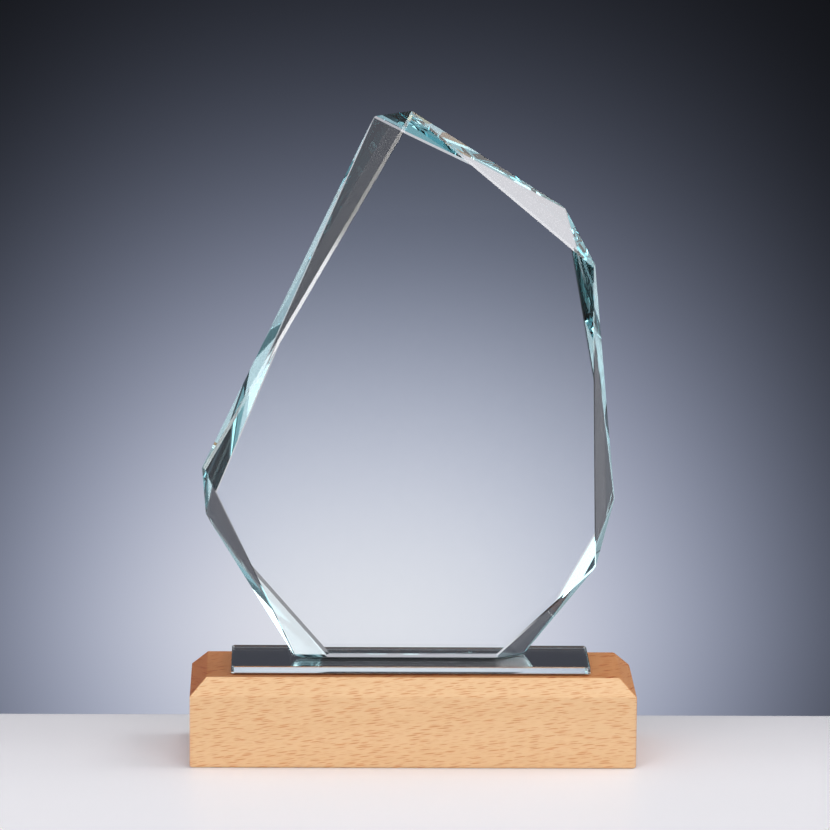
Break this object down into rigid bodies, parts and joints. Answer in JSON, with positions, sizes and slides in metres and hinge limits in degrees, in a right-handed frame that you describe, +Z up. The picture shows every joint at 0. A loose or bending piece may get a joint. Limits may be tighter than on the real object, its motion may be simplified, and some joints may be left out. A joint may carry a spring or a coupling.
{
  "type": "crystal award",
  "caption": "Upright faceted clear glass slab with bevelled edges, glued on a small mirror plate on a chamfered wooden block; a free-standing award or trophy.",
  "frame": {"origin": "on the table under the centre of the wooden block, so at the bottom centre of the bounding box", "axes": "+Z up, along the award's height; +X along its width, to the right seen from the front; +Y through its depth, away from the front"},
  "size_m": [0.15, 0.05, 0.2195],
  "materials": {
    "beech": "fine sanded, thin matt lacquer",
    "tape": "matte foam",
    "silvering": "silvered, painted underneath",
    "plate_glass": "polished",
    "cured_adhesive": "clear cured adhesive",
    "slab_glass": "ground and polished, faint teal in depth"
  },
  "bodies": {
    "root": {"wood_base": "beech", "plate_tape_front": "tape", "plate_tape_rear": "tape", "mirror_backing": "silvering", "mirror_plate": "plate_glass", "slab_adhesive": "cured_adhesive", "iceberg_slab": "slab_glass"}
  },
  "joints": []
}
